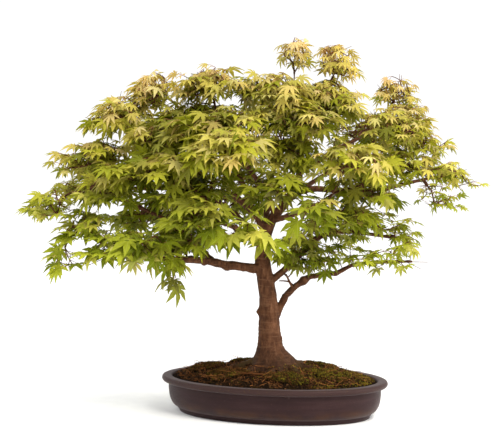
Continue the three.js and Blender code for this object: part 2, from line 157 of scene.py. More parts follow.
class Graph:
    """Short names for building the node tree of a material or a world."""

    def __init__(self, owner, space="Object"):
        owner.use_nodes = True
        self.owner = owner
        self.tree = owner.node_tree
        self.tree.nodes.clear()
        self.coordinates = self.node("TexCoord").outputs[space]

    def node(self, kind, inputs=None, **settings):
        made = self.tree.nodes.new("ShaderNode" + kind)
        for key, value in settings.items():
            setattr(made, key, value)
        for key, value in (inputs or {}).items():
            self.put(made.inputs[key], value)
        return made

    def put(self, socket, value):
        if isinstance(value, bpy.types.NodeSocket):
            self.tree.links.new(value, socket)
        elif isinstance(value, tuple) and len(value) == 3 and socket.type == "RGBA":
            socket.default_value = (*value, 1)
        else:
            socket.default_value = value

    def attribute(self, name):
        return self.node("Attribute", attribute_name=name).outputs["Fac"]

    def axis(self, letter):
        return self.node("SeparateXYZ", {"Vector": self.coordinates}).outputs[letter]

    def stretched(self, x, y, z):
        """Object coordinates scaled along each axis."""
        return self.node("Mapping", {"Vector": self.coordinates, "Scale": (x, y, z)}).outputs["Vector"]

    def noise(self, scale, detail=2, roughness=0.5, vector=None, distortion=0.0):
        where = self.coordinates if vector is None else vector
        return self.node("TexNoise", {
            "Vector": where, "Scale": scale, "Detail": detail,
            "Roughness": roughness, "Distortion": distortion,
        }).outputs["Fac"]

    def cells(self, scale, output="Distance"):
        return self.node("TexVoronoi", {"Vector": self.coordinates, "Scale": scale}).outputs[output]

    def maths(self, operation, *values):
        made = self.node("Math", operation=operation)
        for socket, value in zip(made.inputs, values):
            self.put(socket, value)
        return made.outputs["Value"]

    def times(self, first, second):
        return self.maths("MULTIPLY", first, second)

    def plus(self, first, second):
        return self.maths("ADD", first, second)

    def opposite(self, value):
        return self.maths("SUBTRACT", 1.0, value)

    def smooth(self, value, low, high):
        """0 below low and 1 above high, with a soft step between."""
        return self.node("MapRange", {"Value": value, "From Min": low, "From Max": high},
                         interpolation_type="SMOOTHSTEP").outputs["Result"]

    def moved(self, value, low, high, start=0.0, stop=1.0):
        """A value between start and stop, moved to between low and high."""
        return self.node("MapRange", {
            "Value": value, "From Min": start, "From Max": stop, "To Min": low, "To Max": high,
        }).outputs["Result"]

    def ramp(self, factor, stops):
        made = self.node("ValToRGB", {"Fac": factor})
        elements = made.color_ramp.elements
        while len(elements) < len(stops):
            elements.new(0.5)
        for element, (position, colour) in zip(elements, stops):
            element.position = position
            element.color = (*colour, 1)
        return made.outputs["Color"]

    def mix(self, factor, first, second, blend="MIX"):
        made = self.node("Mix", data_type="RGBA", blend_type=blend)
        for socket, value in zip((made.inputs[0], made.inputs[6], made.inputs[7]), (factor, first, second)):
            self.put(socket, value)
        return made.outputs[2]

    def bump(self, height, distance, strength):
        made = self.node("Bump", {"Height": height, "Distance": distance, "Strength": strength})
        return made.outputs["Normal"]

    def principled(self, inputs):
        return self.node("BsdfPrincipled", inputs).outputs["BSDF"]

    def mix_shaders(self, factor, first, second):
        made = self.node("MixShader")
        for socket, value in zip(made.inputs, (factor, first, second)):
            self.put(socket, value)
        return made.outputs["Shader"]

    def finish(self, shader, output="OutputMaterial"):
        self.node(output, {"Surface": shader})
        return self.owner

    def surface(self, inputs):
        return self.finish(self.principled(inputs))


def new_material(name):
    return Graph(bpy.data.materials.new(name))


def leaf_material():
    """Thin leaves: yellow-green, with painted shade that darkens them inside the sprays and the crown and
    painted light towards their rims and top, golden where young, with pale veins.
    """
    graph = new_material("maple_leaf")
    young = graph.attribute("young")
    rib = graph.attribute("rib")
    mottle = graph.noise(90, detail=4, roughness=0.6)
    # Painted shade darkens the leaf colour, broken up by mottling
    painted_shade_with_mottle = graph.plus(graph.attribute("shade"), graph.maths("MULTIPLY_ADD", mottle, 0.24, -0.12))
    green = graph.ramp(painted_shade_with_mottle, [
        (0.0, (0.53, 0.50, 0.040)),
        (0.35, (0.315, 0.325, 0.016)),
        (0.7, (0.145, 0.166, 0.006)),
        (1.0, (0.065, 0.078, 0.003)),
    ])
    gold = graph.ramp(graph.attribute("vary"), [
        (0.0, (0.66, 0.53, 0.11)),
        (0.5, (0.74, 0.49, 0.20)),
        (1.0, (0.82, 0.69, 0.34)),
    ])
    low = graph.opposite(graph.smooth(graph.axis("Z"), 0.30, 0.46))
    greener = graph.mix(graph.times(low, 0.6), green, (0.84, 1.0, 1.0), "MULTIPLY")
    blade = graph.mix(young, greener, gold)
    slanting = graph.maths("MULTIPLY_ADD", rib, -0.16, graph.attribute("along"))
    side_veins = graph.maths("PINGPONG", slanting, 0.035)
    vein_lines = graph.maths("MAXIMUM", graph.opposite(graph.smooth(rib, 0.0, 0.13)),
                             graph.times(graph.opposite(graph.smooth(side_veins, 0.0, 0.007)), 0.4))
    veined = graph.mix(graph.times(vein_lines, 0.3), blade, (0.56, 0.55, 0.16))
    red_edge = graph.times(graph.smooth(rib, 0.86, 1.0), graph.times(young, 0.4))
    edged = graph.mix(red_edge, veined, (0.55, 0.22, 0.12))
    colour = graph.mix(graph.attribute("stalk"), edged, (0.42, 0.16, 0.09))
    relief = graph.plus(graph.times(vein_lines, -0.6), graph.times(mottle, 0.5))
    normal = graph.bump(relief, 0.0004, 0.6)
    face = graph.principled({
        "Base Color": colour, "Roughness": 0.52, "Specular IOR Level": 0.09, "Normal": normal,
    })
    glow = graph.node("BsdfTranslucent", {
        "Color": graph.mix(0.4, colour, (0.66, 0.68, 0.16), "MULTIPLY"), "Normal": normal,
    }).outputs["BSDF"]
    return graph.finish(graph.mix_shaders(0.4, face, glow))


def bark_material(name, fine):
    """Brown maple bark with streaks, pale rings and dark cracks, damp and greenish at the roots."""
    graph = new_material(name)
    height = graph.axis("Z")
    squeeze = 1 if fine else 0.3
    upright = graph.stretched(1, 1, squeeze)
    streaks = graph.noise(190, detail=6, roughness=0.62, vector=upright, distortion=0.4)
    patches = graph.noise(22, detail=4, roughness=0.6)
    grit = graph.noise(900, detail=3, roughness=0.7)
    fissures = graph.noise(330, detail=3, roughness=0.5, vector=graph.stretched(1, 1, 0.05))
    rings = graph.noise(300, detail=3, roughness=0.6, vector=graph.stretched(0.14, 0.14, 1))
    wood = graph.ramp(graph.plus(graph.times(streaks, 0.75), graph.times(patches, 0.35)), [
        (0.32, (0.022, 0.0085, 0.0042)),
        (0.50, (0.068, 0.026, 0.0112)),
        (0.64, (0.128, 0.053, 0.0240)),
        (0.82, (0.25, 0.125, 0.068)),
    ])
    ringed = graph.mix(graph.times(graph.smooth(rings, 0.52, 0.66), 0.6), wood, (0.16, 0.075, 0.037))
    cracks = graph.times(graph.smooth(fissures, 0.60, 0.70), 0.5)
    cracked = graph.mix(cracks, ringed, (0.030, 0.012, 0.006))
    near_soil = graph.opposite(graph.smooth(height, RIM_HEIGHT + 0.012, RIM_HEIGHT + 0.05))
    lichen = graph.times(near_soil, graph.smooth(patches, 0.5, 0.66))
    mossy = graph.mix(graph.times(lichen, 0.6), cracked, (0.10, 0.085, 0.015))
    damp = graph.opposite(graph.smooth(height, RIM_HEIGHT + 0.012, RIM_HEIGHT + 0.072))
    colour = graph.mix(graph.times(damp, 0.7), mossy, (0.018, 0.008, 0.004))
    relief = graph.plus(streaks, graph.times(grit, 0.25))
    relief = graph.plus(relief, graph.times(graph.smooth(fissures, 0.56, 0.7), -0.3))
    relief = graph.plus(relief, graph.times(rings, 0.5))
    return graph.surface({
        "Base Color": colour,
        "Roughness": graph.moved(streaks, 0.62, 0.86),
        "Specular IOR Level": 0.12,
        "Normal": graph.bump(relief, 0.0006 if fine else 0.0014, 0.8),
    })


def clay_material():
    """Unglazed purple-brown clay, burnished, with a pale bloom on the lip and a brown stain near the foot."""
    graph = new_material("purple_clay")
    height = graph.axis("Z")
    fine = graph.noise(420, detail=5, roughness=0.65)
    broad = graph.noise(9, detail=4, roughness=0.6)
    brushed = graph.noise(60, detail=4, roughness=0.6, vector=graph.stretched(0.25, 0.25, 3.2))
    clay = graph.ramp(graph.maths("MULTIPLY_ADD", broad, 0.5, graph.times(brushed, 0.5)), [
        (0.30, (0.0165, 0.0074, 0.0076)),
        (0.52, (0.024, 0.0112, 0.0114)),
        (0.72, (0.037, 0.0190, 0.0190)),
    ])
    speckled = graph.mix(graph.times(graph.smooth(fine, 0.62, 0.72), 0.5), clay, (0.10, 0.062, 0.056))
    low = graph.times(graph.smooth(height, 0.007, 0.013), graph.opposite(graph.smooth(height, 0.016, 0.030)))
    stain = graph.times(low, graph.smooth(graph.noise(26, detail=5), 0.36, 0.62))
    stained = graph.mix(graph.times(stain, 0.7), speckled, (0.052, 0.021, 0.009))
    lip = graph.smooth(height, RIM_HEIGHT - 0.0125, RIM_HEIGHT - 0.0095)
    bloom = graph.times(lip, graph.maths("MULTIPLY_ADD", broad, 0.5, 0.25))
    lipped = graph.mix(bloom, stained, (0.040, 0.022, 0.019))
    crumbs = graph.times(lip, graph.opposite(graph.smooth(graph.cells(150), 0.10, 0.22)))
    dusty = graph.mix(crumbs, lipped, (0.050, 0.028, 0.014))
    scuffs = graph.smooth(graph.noise(120, detail=2, vector=graph.stretched(1, 1, 0.3)), 0.72, 0.78)
    colour = graph.mix(graph.times(scuffs, 0.3), dusty, (0.13, 0.09, 0.08))
    return graph.surface({
        "Base Color": colour,
        "Roughness": graph.moved(fine, 0.44, 0.6, 0.3, 0.7),
        "Specular IOR Level": 0.13,
        "Specular Tint": (1.0, 0.8, 0.8),
        "Sheen Weight": 0.12,
        "Sheen Roughness": 0.4,
        "Sheen Tint": (1.0, 0.86, 0.86),
        "Normal": graph.bump(graph.plus(fine, graph.times(brushed, 0.6)), 0.0005, 0.7),
    })


def soil_material(name, dark, light, scale, loose):
    """Damp soil with grains in its texture, or loose bits that each have their own tone."""
    graph = new_material(name)
    if loose:
        tone = graph.attribute("vary")
    else:
        grains = graph.cells(scale, output="Color")
        tone = graph.node("SeparateColor", {"Color": grains}).outputs["Red"]
    damp = graph.noise(35, detail=5, roughness=0.65)
    colour = graph.ramp(graph.maths("MULTIPLY_ADD", tone, 0.6, graph.times(damp, 0.45)), [
        (0.2, dark),
        (0.6, tuple(a * 0.78 + b * 0.22 for a, b in zip(dark, light))),
        (0.9, light),
    ])
    relief = graph.plus(graph.cells(scale), graph.noise(scale * 2.2, detail=4, roughness=0.7))
    return graph.surface({
        "Base Color": colour, "Roughness": 0.92, "Specular IOR Level": 0.06,
        "Normal": graph.bump(relief, 0.0012, 0.9),
    })


def moss_material():
    """Moss: yellow-green tips, brown and rust on the left, over a dark brown base."""
    graph = new_material("cushion_moss")
    patches = graph.noise(42, detail=5, roughness=0.62)
    base = graph.ramp(patches, [
        (0.34, (0.008, 0.0045, 0.0018)),
        (0.5, (0.018, 0.012, 0.003)),
        (0.66, (0.040, 0.017, 0.006)),
    ])
    rightward = graph.maths("MULTIPLY_ADD", graph.axis("X"), -0.6, -0.08)
    dryness = graph.plus(graph.plus(patches, graph.times(graph.attribute("vary"), 0.5)), rightward)
    top = graph.ramp(dryness, [
        (0.34, (0.44, 0.34, 0.032)),
        (0.48, (0.21, 0.165, 0.017)),
        (0.60, (0.055, 0.046, 0.007)),
        (0.78, (0.034, 0.018, 0.006)),
        (0.92, (0.25, 0.095, 0.025)),
    ])
    return graph.surface({
        "Base Color": graph.mix(graph.attribute("tip"), base, top),
        "Roughness": 0.9,
        "Specular IOR Level": 0.06,
        "Normal": graph.bump(graph.noise(700, detail=4, roughness=0.7), 0.0008, 0.7),
    })


def mesh_plastic_material():
    """Dark plastic mesh with dried soil on it."""
    graph = new_material("drain_mesh_plastic")
    dust = graph.noise(260, detail=4, roughness=0.65)
    return graph.surface({
        "Base Color": graph.ramp(dust, [(0.35, (0.012, 0.013, 0.011)), (0.7, (0.055, 0.045, 0.033))]),
        "Roughness": graph.moved(dust, 0.45, 0.8),
        "Normal": graph.bump(dust, 0.0002, 0.5),
    })


# ---------- Meshes ----------

class Shape:
    """Collects vertices, faces and per-vertex numbers, and turns them into one mesh."""

    def __init__(self):
        self.vertices = []
        self.faces = []
        self.numbers = {}
        self.count = 0

    def add(self, vertices, faces, **numbers):
        vertices = np.asarray(vertices, float).reshape(-1, 3)
        self.vertices.append(vertices)
        self.faces.extend([[i + self.count for i in face] for face in faces])
        for name, value in numbers.items():
            values = np.broadcast_to(np.asarray(value, float), (len(vertices),))
            self.numbers.setdefault(name, []).append(values)
        self.count += len(vertices)

    def mesh(self, name):
        made = bpy.data.meshes.new(name)
        made.from_pydata(np.concatenate(self.vertices).tolist(), [], self.faces)
        for key, values in self.numbers.items():
            attribute = made.attributes.new(key, "FLOAT", "POINT")
            attribute.data.foreach_set("value", np.concatenate(values).astype(np.float32))
        made.polygons.foreach_set("use_smooth", [True] * len(made.polygons))
        return made


def linked(name, mesh):
    """A new object in the scene with this mesh."""
    made = bpy.data.objects.new(name, mesh)
    bpy.context.scene.collection.objects.link(made)
    return made


def applied(made):
    """The mesh of an object with its modifiers carried out."""
    return bpy.data.meshes.new_from_object(made.evaluated_get(bpy.context.evaluated_depsgraph_get()))


def reshape(mesh, places):
    mesh.vertices.foreach_set("co", places.ravel())
    mesh.update()
    mesh.polygons.foreach_set("use_smooth", [True] * len(mesh.polygons))


def add_piece(name, mesh, material, nodes=()):
    """Puts a mesh into the scene as a piece of the plant, standing for these CAD nodes."""
    mesh.materials.clear()
    mesh.materials.append(material)
    piece = linked(name, mesh)
    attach(piece, "root")
    if nodes:
        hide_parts(*nodes)


def ringed_faces(rings, sides):
    """Faces between rings of vertices, closed at both ends."""
    faces = []
    for i in range(rings - 1):
        for k in range(sides):
            a = i * sides + k
            b = i * sides + (k + 1) % sides
            faces.append([a, b, b + sides, a + sides])
    faces.append(list(range(sides))[::-1])
    faces.append([(rings - 1) * sides + k for k in range(sides)])
    return faces


def tube(points, radii, sides):
    """Rings round a path, closed at both ends: (vertices, faces)."""
    points = [Vector(p) for p in points]
    vertices = []
    side_way = None
    for i, place in enumerate(points):
        heading = (points[min(i + 1, len(points) - 1)] - points[max(i - 1, 0)]).normalized()
        if side_way is None:
            side_way = heading.orthogonal().normalized()
        side_way = (side_way - heading * side_way.dot(heading)).normalized()
        other_way = heading.cross(side_way)
        for k in range(sides):
            angle = 2 * math.pi * k / sides
            vertices.append(place + radii[i] * (math.cos(angle) * side_way + math.sin(angle) * other_way))
    return vertices, ringed_faces(len(points), sides)


BEND = 0.45  # how far along a curve it keeps the way in which it left


def bent_path(start, heading, end, steps):
    """Points on a curve that leaves start along heading and ends at end."""
    reach = (end - start).length
    control = start + heading * reach * BEND
    path = []
    for i in range(steps + 1):
        t = i / steps
        path.append(start * (1 - t) ** 2 + control * 2 * t * (1 - t) + end * t * t)
    return path


def cad_tree(node):
    """The CAD node's surface for nearest-point questions."""
    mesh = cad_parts[node].data
    corners = [vertex.co.copy() for vertex in mesh.vertices]
    return BVHTree.FromPolygons(corners, [list(face.vertices) for face in mesh.polygons])


def lies_inside(surface, place):
    found, normal, _, _ = surface.find_nearest(place)
    return (place - found).dot(normal) < 0


# ---------- The wood ----------

def remeshed(node, voxel, smoothing):
    """A copy of a CAD node's surface with even small faces, smoothed."""
    copy = linked(node + "_copy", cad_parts[node].data.copy())
    remesh = copy.modifiers.new("remesh", "REMESH")
    remesh.mode = "VOXEL"
    remesh.voxel_size = voxel
    smooth = copy.modifiers.new("smooth", "SMOOTH")
    smooth.factor = 0.5
    smooth.iterations = smoothing
    mesh = applied(copy)
    bpy.data.objects.remove(copy)
    return mesh


def arrays_of(mesh):
    """The places and the normals of a mesh's vertices, one row for each."""
    places = np.empty(len(mesh.vertices) * 3)
    mesh.vertices.foreach_get("co", places)
    normals = np.empty(len(mesh.vertices) * 3)
    mesh.vertex_normals.foreach_get("vector", normals)
    return places.reshape(-1, 3), normals.reshape(-1, 3)


# Swellings on the trunk: [point in the tree's frame, radius, height], in mm.
TRUNK_KNOBS = [
    [(-24, -6, 117), 6, 6.5],  # the healed pruning cut on the left
    [(-29, -8, 116), 2.6, -3.5],  # and its hollow heart
    [(19, -4, 69), 7, 3.5],
    [(-8, -14, 92), 12, 1.6],
    [(20, -3, 138), 7, 3.2],  # the knotty low limb on the right
    [(27, -4, 156), 7, 4.0],
    [(40, -2, 163), 5, 3.0],
    [(56, 2, 172), 6, 3.4],
    [(78, 0, 186), 5, 2.6],
    [(24, -8, 196), 6, 2.6],
    [(44, 0, 220), 7, 4.0],
    [(-70, -16, 203), 8, 2.2],
    [(-100, -26, 206), 7, 2.4],
    [(8, -12, 150), 10, 1.5],
]
WRINKLES = (56, 62, 67, 74, 81, 92, 104, 142, 178)  # heights of the bark's rings over the rim, in mm
WRINKLE_DEPTH = 0.8
WRINKLE_WIDTH = 1.1
FLUTING = 1.8  # depth of the broad grooves between the roots, in mm
FLUTED_HEIGHT = 110  # and how high over the rim they run out
KNUCKLES = 5  # height of the swellings along the limbs


def bark_lift(place):
    """How far the bark stands out from the CAD wood, in mm."""
    over_rim = (place.z - RIM_HEIGHT) * 1000
    offset = place - POT_MIDDLE
    from_axis = math.hypot(offset.x, offset.y) * 1000
    streaks = noise.fractal(Vector((place.x * 160, place.y * 160, place.z * 22)), 1.0, 2.1, 4)
    lumps = noise.noise(place * 42)
    grooves = noise.noise(Vector((place.x * 60, place.y * 60, place.z * 9)))
    girth = min(1.0, max(0.25, 1.15 - over_rim / 420))
    fluting = grooves * max(0.0, 1 - over_rim / FLUTED_HEIGHT) * FLUTING
    limb = clamped((from_axis - 24) / 10) * clamped((over_rim - 120) / 20)
    knuckles = KNUCKLES * limb * max(0.0, noise.noise(place * 75)) ** 1.5
    rings = sum(-WRINKLE_DEPTH * math.exp(-((over_rim + 1.2 * lumps - ring) / WRINKLE_WIDTH) ** 2)
                for ring in WRINKLES)
    return girth * (0.5 * streaks + 0.55 * lumps + rings) + fluting + knuckles + 0.35


def make_wood():
    mesh = remeshed("trunk_and_branches", 0.0016, 4)
    places, normals = arrays_of(mesh)
    lift = np.array([bark_lift(Vector(place)) for place in places])
    for (right, back, up), radius, height in TRUNK_KNOBS:
        centre = np.array(tree_point(right, back, up))
        away = np.linalg.norm(places - centre, axis=1) * 1000
        lift += height * np.exp(-(away / radius) ** 2)
    reshape(mesh, places + normals * lift[:, None] / 1000)
    bark = bark_material("maple_bark", False)
    add_piece("trunk_and_branches_bark", mesh, bark, ["trunk_and_branches"])


# ---------- Leaves ----------

# The seven lobes of a blade: [angle from the middle lobe in degrees, length against the middle lobe].
LOBES = [(-116, 0.40), (-76, 0.72), (-38, 0.93), (0, 1.0), (38, 0.93), (76, 0.72), (116, 0.40)]
LOBE_RIB = (0.34, 0.60, 0.82)  # places along a lobe's midrib, as shares of its length
LOBE_EDGE = [(0.42, 0.108), (0.57, 0.124), (0.62, 0.100), (0.82, 0.050)]  # a lobe's [share, half width]
SINUS = 0.31  # how far from the middle the notch between two lobes lies
STALK_JOIN = (152, 0.10)  # where the outermost lobes close behind the stalk: [angle, distance]
LOBE_CLOSING = 0.34  # how much of their angle the lobes of a very young leaf fold forwards
LOBE_NARROWING = 0.2
LOBE_FOLD = 0.45  # rise of a lobe's edges over its midrib
BLADE_WAVE = 0.10
STALK_RADII = [0.00042, 0.00034, 0.00036]
STALK_ARCH = 0.0012
BLADE_SHARE = 0.46  # how far a blade reaches from the middle of its square of the texture layout


def leaf_template():
    """One flat blade of radius 1: arrays of angle, distance along the lobe, sideways distance and rib.

    Rib is 0 on a midrib, 0.5 at a lobe's tip and 1 along its edge.
    """
    points = [(0.0, 0.0, 0.0, 0.0)]
    faces = []
    notches = []
    for i in range(len(LOBES) + 1):
        if i == 0:
            angle, reach = -STALK_JOIN[0], STALK_JOIN[1]
        elif i == len(LOBES):
            angle, reach = STALK_JOIN
        else:
            angle = (LOBES[i - 1][0] + LOBES[i][0]) / 2
            reach = SINUS * (LOBES[i - 1][1] + LOBES[i][1]) / 2
        notches.append(len(points))
        points.append((math.radians(angle), reach, 0.0, 1.0))
    for i, (angle, length) in enumerate(LOBES):
        angle = math.radians(angle)
        first = len(points)
        points.extend((angle, share * length, 0.0, 0.0) for share in LOBE_RIB)
        tip = len(points)
        points.append((angle, length, 0.0, 0.5))
        near, mid, far = first, first + 1, first + 2
        for side, notch in ((-1, notches[i]), (1, notches[i + 1])):
            edge = len(points)
            points.extend((angle, share * length, side * width * length, 1.0) for share, width in LOBE_EDGE)
            half = [
                [0, near, notch],
                [near, edge, notch],
                [near, mid, edge + 1, edge],
                [mid, edge + 2, edge + 1],
                [mid, far, edge + 3, edge + 2],
                [far, tip, edge + 3],
            ]
            faces.extend(half if side > 0 else [face[::-1] for face in half])
    return np.array(points).T, faces


TEMPLATE, TEMPLATE_FACES = leaf_template()
TEMPLATE_NOTCHES = (TEMPLATE[3] == 1) & (TEMPLATE[2] == 0)


def add_leaf(shape, uv, cell, joint, base, axis, face_up, radius, look, rng):
    """One leaf: its stalk from joint to base, and its blade from base along axis."""
    tones = {key: look[key] for key in ("young", "shade", "vary")}
    angle, along, across, rib = TEMPLATE
    angle = angle * (1 - LOBE_CLOSING * look["closed"])
    across = across * (1 - LOBE_NARROWING * look["closed"]) * look["broad"]
    along = np.where(TEMPLATE_NOTCHES, along * look["broad"] ** 1.3, along)
    bend = rng.uniform(-0.12, 0.12)
    x = along * np.cos(angle) - across * np.sin(angle)
    y = along * np.sin(angle) + across * np.cos(angle) + bend * x * x
    out = np.hypot(x, y)
    wave = BLADE_WAVE * np.cos(3 * angle + bend * 30) * out ** 2
    z = LOBE_FOLD * np.abs(across) - look["droop"] * out ** 2 - wave
    turn = np.array((axis, face_up.cross(axis), face_up))
    blade = np.array(base) + radius * np.stack((x, y, z), 1) @ turn
    shape.add(blade, TEMPLATE_FACES, rib=rib, along=along, stalk=0.0, **tones)
    cell_x, cell_y, cell_size = cell
    corner = np.array((cell_x, cell_y))
    flat = 0.5 + BLADE_SHARE * np.stack((x, y), 1) / 1.05
    uv.append(corner + flat * cell_size)

    middle = joint.lerp(base, 0.55) + UP * STALK_ARCH
    vertices, faces = tube([joint, middle, base], STALK_RADII, 3)
    shape.add(vertices, faces, rib=0.5, along=0.5, stalk=1.0, **tones)
    strip = np.linspace(0.02, 0.3, len(vertices))
    uv.append(corner + np.stack((strip, np.full(len(strip), 0.03)), 1) * cell_size)


def leaf_axes(heading, droop, roll):
    """The blade's axis, and the way its upper face looks."""
    flat = Vector((heading.x, heading.y, 0))
    flat = flat.normalized() if flat.length > 1e-6 else Vector((1, 0, 0))
    axis = (flat * math.cos(droop) - UP * math.sin(droop)).normalized()
    face_up = (UP - axis * UP.dot(axis)).normalized()
    face_up.rotate(Matrix.Rotation(roll, 3, axis))
    return axis, face_up


# ---------- Twigs and foliage ----------

HANGING_SPRAY = "leaves_low_left_hanging"
BLADE_RADIUS = 0.0270  # from the stalk to the tip of the middle lobe, on an average leaf
SHOOT_SPACING = 0.0165  # between the joints that carry leaves
LOOSE_SPACING = 0.0145
FILL = (1.04, 1.04, 1.3)  # how much of the spray's width, depth and thickness its shoots fill
BARE_STRETCH = 0.024  # a longer twig at a spray's rim carries leaves halfway too
LEADER_SHARE = 0.35  # how many of the outermost joints carry a longer shoot
INNER_CLEARANCE = 0.010  # the joints stop this far inside a spray's outline in the middle of the crown
OUTER_CLEARANCE = 0.024  # and this far at the crown's outline, where the leaves' tips reach it
TWIG_RADIUS = 0.00046  # grows with the square root of the number of joints that a twig feeds
TWIG_MOST = 0.0018
CROWN_MIDDLE = tree_point(-20, 20, 330)
CROWN_HALF = (0.39, 0.28, 0.27)  # to the right, to the back and up
FOLIAGE_SEED = SEED
LOOSE_SEED = SEED + 80

# Loose leafy shoots between the sprays: [middle, half size, share of a full blade] in the tree's frame, mm.
LOOSE_SHOOTS = {
    "limb_shoots": [(50, -14, 226), (42, 20, 28), 0.78],
    "inner_shoots": [(30, -70, 402), (40, 30, 30), 0.9],
    "crown_shoots": [(90, -4, 500), (40, 26, 26), 0.85],
    "shoulder_shoots": [(-128, -16, 470), (70, 24, 16), 0.85],
    "left_shoots": [(-150, -40, 250), (60, 30, 22), 0.9],
    "heart_shoots": [(-58, 30, 366), (34, 26, 28), 0.8],
}

# Leafless shoots: [a place inside the foliage, the bare tip, thickness at the foot in mm].
BARE_SHOOTS = [
    [(190, 20, 251), (256, 16, 243), 1.0],
    [(206, 20, 204), (276, 18, 203), 1.0],
    [(232, 20, 206), (262, 4, 192), 0.8],
    [(102, -60, 312), (120, -66, 290), 0.8],
    [(180, 0, 300), (222, -4, 287), 0.9],
    [(-286, -60, 221), (-324, -66, 204), 0.9],
    [(33, -2, 161), (22, -8, 184), 3.0],
    [(28, -5, 170), (10, -8, 172), 2.2],
    [(25, -7, 178), (34, -10, 193), 1.8],
    [(44, 4, 222), (66, 0, 250), 1.4],
]


def spread_out(place_at_random, spacing, tries):
    """Random places that keep this far from each other, a little less so upwards."""
    places = []
    for _ in range(tries):
        place = place_at_random()
        if place is None:
            continue
        gaps = (Vector((place.x - other.x, place.y - other.y, 1.3 * (place.z - other.z))) for other in places)
        if all(gap.length > spacing for gap in gaps):
            places.append(place)
    return places


def outwards(place):
    """The level way from the middle of the pot to a place."""
    return Vector((place.x - POT_MIDDLE.x, place.y - POT_MIDDLE.y, 0))


def outward_way(place):
    return outwards(place).normalized()


def crown_reach(place):
    """0 in the middle of the crown and 1 at its outline."""
    offset = place - CROWN_MIDDLE
    along = (offset.dot(TREE_RIGHT), offset.dot(TREE_BACK), offset.z)
    return math.sqrt(sum((distance / half) ** 2 for distance, half in zip(along, CROWN_HALF)))


JOINT_TRIES = 5000
OUTER_PART = 0.5  # of a spray's half length, where long shoots may start
LEADER_REACH = (0.010, 0.022)
LEADER_RISE = (-0.004, 0.012)


def spray_joints(node, spacing, clear, lift, leader_share, rng):
    """Places inside a spray where pairs of leaves grow, and a few that reach out of it on long shoots."""
    low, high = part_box(node)
    surface = cad_tree(node)
    middle = (low + high) / 2
    half = (high - low) / 2
    pull = [FILL[k] * (half[k] - (clear if k < 2 else 0)) / half[k] for k in range(3)]

    def place_inside():
        place = Vector(rng.uniform(low[k], high[k]) for k in range(3))
        if not lies_inside(surface, place):
            return None
        return Vector(middle[k] + (place[k] - middle[k]) * pull[k] for k in range(3)) + UP * lift

    joints = spread_out(place_inside, spacing, JOINT_TRIES)
    outer = [joint for joint in joints if (joint - middle).dot(outward_way(joint)) > OUTER_PART * half.x]
    for joint in outer:
        if rng.random() < leader_share:
            reach = outward_way(joint) * rng.uniform(*LEADER_REACH)
            joints.append(joint + reach + UP * rng.uniform(*LEADER_RISE))
    return joints


def link_joints(joints, wood):
    """Joins each place to the wood or to a place nearer to it.

    Gives the order of growth, each place's link, which is a number of a place or a point on the wood, and
    how many places each one feeds, itself included.
    """
    order = sorted(range(len(joints)), key=lambda i: wood.find_nearest(joints[i])[3])
    placed = []
    links = {}
    for i in order:
        place = joints[i]
        on_wood, _, _, away = wood.find_nearest(place)
        best, parent = away * 0.9, None
        for j in placed:
            distance = (joints[j] - place).length
            if distance < best:
                best, parent = distance, j
        links[i] = parent if parent is not None else on_wood
        placed.append(i)
    load = {i: 1 for i in order}
    for i in reversed(order):
        if isinstance(links[i], int):
            load[links[i]] += load[i]
    return order, links, load


def foliage_look(place, edge, end, painted_shade_shift, rng):
    """How young and how folded a leaf is, and how much painted shade it gets, lighter towards the rims and
    top; edge is 0 inside its spray and 1 at its rim or top.
    """
    high = clamped((place.z - RIM_HEIGHT - 0.30) / 0.26)
    outer = clamped((crown_reach(place) - 0.6) / 0.35)
    chance = (0.02 + 0.7 * high) * edge * (0.3 + 0.7 * outer) + 0.3 * outer * high + (0.08 if end else 0.0)
    young = clamped(rng.gauss(chance - 0.08, 0.18))
    # Painted shade: darker inside the spray and the crown, painted light towards their rims and top
    shade = rng.gauss(0.78 - 0.32 * edge - 0.28 * outer - 0.22 * high * outer + painted_shade_shift, 0.18)
    return {
        "young": young,
        "shade": clamped(shade),
        "vary": rng.random(),
        "closed": 0.9 * young * rng.random(),
        "broad": 1.0 + 0.34 * (1 - high) * (1 - young) * rng.uniform(0.5, 1),
        "droop": rng.uniform(0.04, 0.30) + 0.3 * young,
    }


def add_twiglets(twigs, path, heading, rng):
    """Short dead side twigs, one from each bend of a twig."""
    for place in path[1:]:
        way = Vector((rng.gauss(0, 1), rng.gauss(0, 1), rng.gauss(0.1, 0.4))).normalized()
        tip = place + (way + heading * 0.8).normalized() * rng.uniform(0.006, 0.018)
        twigs.add(*tube([place, tip], [0.0006, 0.0004], 3))


